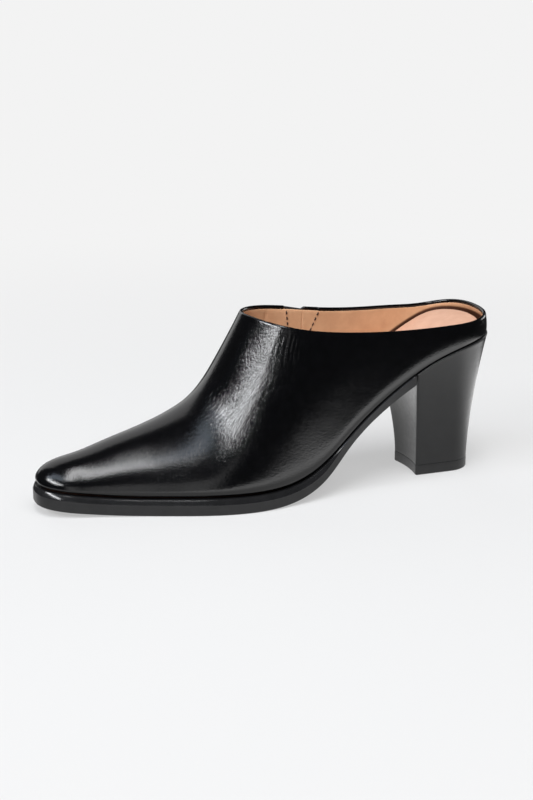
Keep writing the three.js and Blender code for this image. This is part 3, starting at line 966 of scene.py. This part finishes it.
# ---- Materials ----
class Surface:
    """A material's node tree around one Principled shader. Sizes are in millimetres."""

    def __init__(self, name, **sockets):
        self.material = bpy.data.materials.new(name)
        self.material.use_nodes = True
        self.tree = self.material.node_tree
        self.shader = self.tree.nodes["Principled BSDF"]
        for socket, value in sockets.items():
            self.shader.inputs[socket.replace("_", " ")].default_value = value
        self.place = self.tree.nodes.new("ShaderNodeTexCoord").outputs["Object"]

    def node(self, kind, settings=None, **inputs):
        """A node of a kind. in0 names its first input socket, and Some_Name a named one."""
        node = self.tree.nodes.new("ShaderNode" + kind)
        for key, value in (settings or {}).items():
            setattr(node, key, value)
        for key, value in inputs.items():
            number = key.removeprefix("in")
            socket = node.inputs[int(number) if number.isdigit() else key.replace("_", " ")]
            if isinstance(value, bpy.types.NodeSocket):
                self.tree.links.new(value, socket)
            else:
                socket.default_value = value
        return node

    def link(self, socket, value):
        self.tree.links.new(value, self.shader.inputs[socket])

    def show(self, shader):
        """Makes a shader the material's own, in place of the Principled one."""
        output = self.tree.nodes["Material Output"].inputs["Surface"]
        self.tree.links.new(shader.outputs[0], output)

    def where(self, turn=(0, 0, 0), stretch=(1, 1, 1)):
        """The place in millimetres, turned and then stretched along its own axes."""
        turned = self.node("Mapping", {"vector_type": "TEXTURE"}, Vector=self.place, Rotation=turn)
        size = [1 / (MM * s) for s in stretch]
        return self.vector("MULTIPLY", turned.outputs[0], size).outputs[0]

    def noise(self, size, detail=2.0, roughness=0.5, at=None, distortion=0.0):
        node = self.node("TexNoise", Vector=at or self.where(), Scale=1 / size, Detail=detail,
                         Roughness=roughness, Distortion=distortion)
        return node.outputs["Fac"]

    def cells(self, size):
        return self.node("TexVoronoi", Vector=self.where(), Scale=1 / size).outputs["Distance"]

    def ramp(self, factor, *stops):
        """A ramp through (place, colour or grey) stops."""
        node = self.node("ValToRGB", Fac=factor)
        elements = node.color_ramp.elements
        while len(elements) < len(stops):
            elements.new(0.5)
        for element, (place, colour) in zip(elements, stops):
            grey = isinstance(colour, (int, float))
            element.position = place
            element.color = ((colour,) * 3 if grey else colour) + (1,)
        return node.outputs["Color"]

    def mottled(self, low, high, size, detail=2.0, roughness=0.5, ends=(0.3, 0.7)):
        """A colour or grey that drifts between low and high in spots of a size."""
        return self.ramp(self.noise(size, detail, roughness), (ends[0], low), (ends[1], high))

    def math(self, operation, a, b=0.0):
        return self.node("Math", {"operation": operation}, in0=a, in1=b).outputs[0]

    def vector(self, operation, a, b=(0, 0, 0)):
        return self.node("VectorMath", {"operation": operation}, in0=a, in1=b)

    def range(self, value, low, high, to_low=0.0, to_high=1.0):
        node = self.node("MapRange", {"interpolation_type": "SMOOTHSTEP"}, Value=value,
                         From_Min=low, From_Max=high, To_Min=to_low, To_Max=to_high)
        return node.outputs["Result"]

    def part_of(self, vector, axis):
        return self.node("SeparateXYZ", Vector=vector).outputs[axis]

    def upward(self, low, high):
        """0 where the surface's normal points up by less than low, and 1 past high."""
        normal = self.node("NewGeometry").outputs["Normal"]
        return self.range(self.part_of(normal, "Z"), low, high)

    def bump(self, *layers):
        """Stacks bumps given as (height, depth in millimetres, strength)."""
        normal = None
        for height, depth, strength in layers:
            node = self.node("Bump", Height=height, Distance=depth * MM, Strength=strength)
            if normal is not None:
                self.tree.links.new(normal, node.inputs["Normal"])
            normal = node.outputs["Normal"]
        self.link("Normal", normal)


def black_leather():
    """Glossy corrected-grain leather: fine pores, short flex wrinkles that run down the
    sides towards the toe, and a little wear."""
    s = Surface("black_leather", IOR=1.5, Coat_Weight=0.1, Coat_Roughness=0.1, Coat_IOR=1.5)
    leaning = s.where(turn=(0, math.radians(-38), 0), stretch=(0.7, 1.3, 5.0))
    upright = s.where(turn=(0, math.radians(-14), 0), stretch=(0.7, 1.3, 6.0))
    height = s.part_of(s.place, "Z")
    flexed = 0.05
    for place, reach in FLEX_PLACES:
        away = s.vector("DISTANCE", s.place, tuple(to_frame(place))).outputs["Value"]
        flexed = s.math("MAXIMUM", s.range(away, reach * MM, 0.1 * reach * MM), flexed)
    flexed = s.math("MULTIPLY", flexed, s.range(height, 66 * MM, 84 * MM, 1.0, 0.55))
    wrinkles = s.node("Mix", Factor=s.range(height, 62 * MM, 78 * MM),
                      A=s.noise(0.75, 2.5, at=leaning, distortion=0.5),
                      B=s.noise(0.75, 2.5, at=upright)).outputs["Result"]
    s.link("Base Color", s.mottled((0.0006, 0.0007, 0.0009), (0.0014, 0.0015, 0.0019), 5, 3.0))
    s.link("Roughness", s.mottled(0.12, 0.19, 2.2, 4.0, 0.65))
    s.bump((s.noise(14), 0.35, 0.3), (s.math("MULTIPLY", wrinkles, flexed), 0.28, 0.9),
           (s.cells(0.9), 0.05, 0.5), (s.noise(0.6, 2.0, 0.6), 0.06, 0.55))
    return s.material


def tan_leather():
    """Natural lining leather, with painted shade along the crevice where it meets the sock."""
    s = Surface("tan_leather", IOR=1.45)
    colour = s.mottled((0.57, 0.31, 0.17), (0.70, 0.41, 0.235), 9, 4.0, 0.6, ends=(0.25, 0.75))
    # Painted shade: the lining darkens just above the sock's edge, a painted shadow line in the
    # crevice between them.
    over_sock = s.node("Attribute", {"attribute_name": "over_sock"}).outputs["Fac"]
    shade = s.ramp(s.range(over_sock, -0.2, 1.3), (0.0, (0.09, 0.05, 0.035)),
                   (0.55, (0.62, 0.55, 0.5)), (1.0, 1.0))
    dark = s.node("MixRGB", {"blend_type": "MULTIPLY"}, Fac=1.0, Color1=colour, Color2=shade)
    s.link("Base Color", dark.outputs[0])
    s.link("Roughness", s.mottled(0.5, 0.62, 2.0, 3.0))
    s.bump((s.noise(12), 0.5, 0.3), (s.cells(0.8), 0.08, 0.35), (s.noise(0.5, 3.0), 0.05, 0.3))
    return s.material


def sock_leather():
    """Rosier leather than the lining's, with its sides darkened as painted shade of the crevice
    against the lining.
    """
    s = Surface("sock_leather", IOR=1.45)
    face = s.mottled((0.50, 0.285, 0.195), (0.585, 0.35, 0.245), 7, 4.0, 0.6, ends=(0.25, 0.75))
    # Painted shade: the sides, which face the lining across the crevice, are near-black brown in
    # place of its shadow.
    painted_side_shade = s.mottled((0.035, 0.014, 0.009), (0.07, 0.03, 0.018), 1.5, 3.0)
    both = s.node("MixRGB", Fac=s.upward(0.3, 0.7), Color1=painted_side_shade, Color2=face)
    s.link("Base Color", both.outputs[0])
    s.link("Roughness", s.mottled(0.5, 0.62, 1.4, 3.0))
    s.bump((s.cells(0.9), 0.08, 0.35), (s.noise(0.5, 3.0), 0.05, 0.3))
    return s.material


def elastic_cloth():
    s = Surface("elastic_cloth", IOR=1.45, Sheen_Weight=0.2, Sheen_Roughness=0.5)
    weave = s.node("TexWave", {"wave_type": "BANDS", "bands_direction": "Z"}, Vector=s.where(),
                   Scale=1 / RIB, Distortion=0.6, Detail=1.0).outputs["Fac"]
    s.link("Base Color", s.mottled((0.006, 0.006, 0.007), (0.016, 0.016, 0.018), 0.7))
    s.link("Roughness", s.mottled(0.7, 0.85, 1.2))
    s.bump((weave, 0.12, 0.5), (s.noise(0.4), 0.06, 0.4))
    return s.material


def sole_black():
    """Dressed sole edge, more polished where it faces up, on the ledge's bevel."""
    s = Surface("sole_black", IOR=1.48)
    s.link("Base Color", s.mottled((0.0085, 0.0086, 0.009), (0.013, 0.013, 0.0138), 6, 4.0, 0.6))
    wall = s.mottled(0.3, 0.42, 1.8, 4.0, 0.7)
    bevel = s.mottled(0.12, 0.18, 1.8, 4.0, 0.7)
    both = s.node("MixRGB", Fac=s.upward(0.1, 0.3), Color1=wall, Color2=bevel)
    s.link("Roughness", both.outputs[0])
    scratches = s.noise(1.2, 4.0, 0.65, at=s.where(stretch=(3, 3, 1)))
    s.bump((scratches, 0.06, 0.4), (s.noise(0.35), 0.04, 0.3))
    return s.material


def heel_wrap():
    """Satin leather stretched down the block."""
    s = Surface("heel_wrap", IOR=1.48)
    s.link("Base Color", s.mottled((0.0055, 0.0056, 0.006), (0.0085, 0.0087, 0.0092), 8, 4.0, 0.6))
    s.link("Roughness", s.mottled(0.28, 0.38, 2.5, 4.0, 0.65))
    grain = s.noise(0.5, 3.0, 0.6, at=s.where(stretch=(1, 1, 2.5)))
    s.bump((s.noise(10), 0.25, 0.3), (grain, 0.05, 0.35))
    return s.material


def lift_rubber():
    s = Surface("lift_rubber", IOR=1.5)
    s.link("Base Color", s.mottled((0.008, 0.008, 0.0085), (0.012, 0.012, 0.0125), 4, 4.0))
    s.link("Roughness", s.mottled(0.36, 0.48, 1.0, 3.0))
    s.bump((s.noise(0.6, 3.0), 0.08, 0.4))
    return s.material


def thread(name, dark, light):
    s = Surface(name, IOR=1.45)
    twist = s.noise(0.3, 1.0, at=s.where(stretch=(1, 1, 0.4)))
    s.link("Base Color", s.ramp(twist, (0.3, dark), (0.7, light)))
    s.link("Roughness", s.mottled(0.6, 0.8, 0.5))
    s.bump((twist, 0.05, 0.5))
    return s.material


# ---- Stage, lights and camera ----
def glow(name, strength=None):
    """An even light, or one whose strength fades as mirror_strength says."""
    s = Surface(name)
    s.show(s.node("Emission", Strength=mirror_strength(s) if strength is None else strength))
    return s.material


def mirror_strength(s):
    """Dimmer close to the shoe and ahead of its heel."""
    aside = s.math("ABSOLUTE", s.part_of(s.place, "Y"))
    behind = s.math("SUBTRACT", MIRROR_BACK, s.part_of(s.place, "X"))
    return s.range(s.math("MAXIMUM", aside, behind), *MIRROR_REACH, *MIRROR_GLOW)


def floor_material():
    """Pale board whose rim passes into the backdrop's even light."""
    s = Surface("floor", Base_Color=(FLOOR_SHADE, FLOOR_SHADE, FLOOR_SHADE, 1), Roughness=0.7,
                Specular_IOR_Level=0.2)
    light = s.node("Emission", Strength=PALE)
    share = s.range(s.vector("LENGTH", s.place).outputs["Value"], *FLOOR_FADE, FLOOR_OWN, 1.0)
    s.show(s.node("MixShader", in0=share, in1=s.shader.outputs[0], in2=light.outputs[0]))
    return s.material


def disc(name, radii, material, steps=96):
    """A level ring, or a full disc if it starts at 0, just under the shoe."""
    turn = np.linspace(0, 2 * math.pi, steps + 1)[:-1]
    ring = np.stack([np.cos(turn), np.sin(turn), 0 * turn], -1)
    points = np.concatenate([ring * r + (0, 0, FLOOR_LEVEL) for r in radii if r > 0])
    faces = []
    if radii[0] == 0:
        faces.append(list(range(steps)))
    for k in range(len(points) // steps - 1):
        for i in range(steps):
            j = (i + 1) % steps
            near, far = k * steps, (k + 1) * steps
            faces.append([near + i, far + i, far + j, near + j])
    mesh = bpy.data.meshes.new(name)
    mesh.from_pydata(points.tolist(), [], faces)
    thing = bpy.data.objects.new(name, mesh)
    bpy.context.scene.collection.objects.link(thing)
    thing.data.materials.append(material)
    return thing


def unseen(thing, *rays):
    """Hides a thing from kinds of ray."""
    for ray in rays:
        setattr(thing, "visible_" + ray, False)


def make_stage():
    """The floor, what the shoe mirrors as the floor, and an even backdrop."""
    floor = disc("floor", [0, 0.1, FLOOR_RADIUS], floor_material())
    unseen(floor, "glossy")
    mirror = disc("floor_near", [0, MIRROR_RADIUS], glow("floor_near"))
    mirror.location = MIRROR_AT
    unseen(mirror, "camera", "diffuse", "shadow")
    surround = disc("surround", [FLOOR_RADIUS, 3, BACKDROP], glow("surround", PALE))
    bpy.ops.mesh.primitive_uv_sphere_add(segments=48, ring_count=24, radius=BACKDROP)
    backdrop = bpy.context.object
    backdrop.name = "backdrop"
    backdrop.data.materials.append(glow("backdrop", PALE))
    for thing in (surround, backdrop):
        unseen(thing, "diffuse", "glossy", "transmission", "shadow")
    world = bpy.data.worlds.new("room")
    bpy.context.scene.world = world
    world.use_nodes = True
    world.node_tree.nodes["Background"].inputs["Color"].default_value = (*ROOM, 1)


def direction(bearing, elevation):
    """A unit vector. Bearing is measured from the toe's direction to the outer side."""
    b, e = math.radians(bearing), math.radians(elevation)
    return Vector((math.cos(b) * math.cos(e), math.sin(b) * math.cos(e), math.sin(e)))


def make_light(name, bearing, elevation, width, height, radiance, colour, roll):
    """A softbox that faces the shoe. radiance is how bright its face looks."""
    data = bpy.data.lights.new(name, "AREA")
    data.shape = "RECTANGLE"
    data.size, data.size_y = width, height
    data.energy = radiance * math.pi * width * height
    data.color = colour
    light = bpy.data.objects.new(name, data)
    bpy.context.scene.collection.objects.link(light)
    toward = direction(bearing, elevation)
    light.location = Vector(LIGHT_AIM) + toward * LIGHT_AWAY
    light.rotation_mode = "QUATERNION"
    rolled_by = Quaternion((0, 0, 1), math.radians(roll))
    light.rotation_quaternion = toward.to_track_quat("Z", "Y") @ rolled_by
    unseen(light, "camera")
    return light


def make_lights():
    for row in LIGHTS:
        make_light(*row)
    unseen(make_light(*SOFT), "glossy")


def make_camera():
    data = bpy.data.cameras.new("camera")
    data.sensor_width = 36
    data.lens = LENS
    camera = bpy.data.objects.new("camera", data)
    bpy.context.scene.collection.objects.link(camera)
    low, high = cad_bounds
    toward = direction(CAMERA_BEARING, CAMERA_RISE)
    camera.location = (low + high) / 2 + toward * CAMERA_LENGTHS * (high.x - low.x)
    camera.rotation_mode = "QUATERNION"
    camera.rotation_quaternion = toward.to_track_quat("Z", "Y")
    bpy.context.scene.camera = camera


# ---- Assembly ----
def dress(piece, material, slot, *replaced):
    piece.data.materials.append(material)
    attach(piece, "root")
    if replaced:
        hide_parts(*replaced)
    return piece


def main():
    brown = thread("brown_thread", (0.03, 0.012, 0.007), (0.06, 0.028, 0.016))
    black = thread("black_thread", (0.006, 0.006, 0.007), (0.016, 0.016, 0.018))
    dress(make_upper(), black_leather(), "black_leather", "upper")
    dress(make_upper_stitches(), black, "black_leather")
    dress(make_elastic(), elastic_cloth(), "black_elastic", "gore")
    dress(make_lining(), tan_leather(), "tan_leather")
    dress(make_lining_stitches(), brown, "tan_leather")
    dress(make_sock(), sock_leather(), "tan_leather", "insole")
    dress(make_sole(), sole_black(), "black_sole", "outsole")
    dress(make_heel(), heel_wrap(), "heel_wrap", "heel")
    dress(make_lift(), lift_rubber(), "lift_rubber", "top_lift")
    make_stage()
    make_lights()
    make_camera()
    bpy.context.scene.view_settings.view_transform = "Standard"


main()
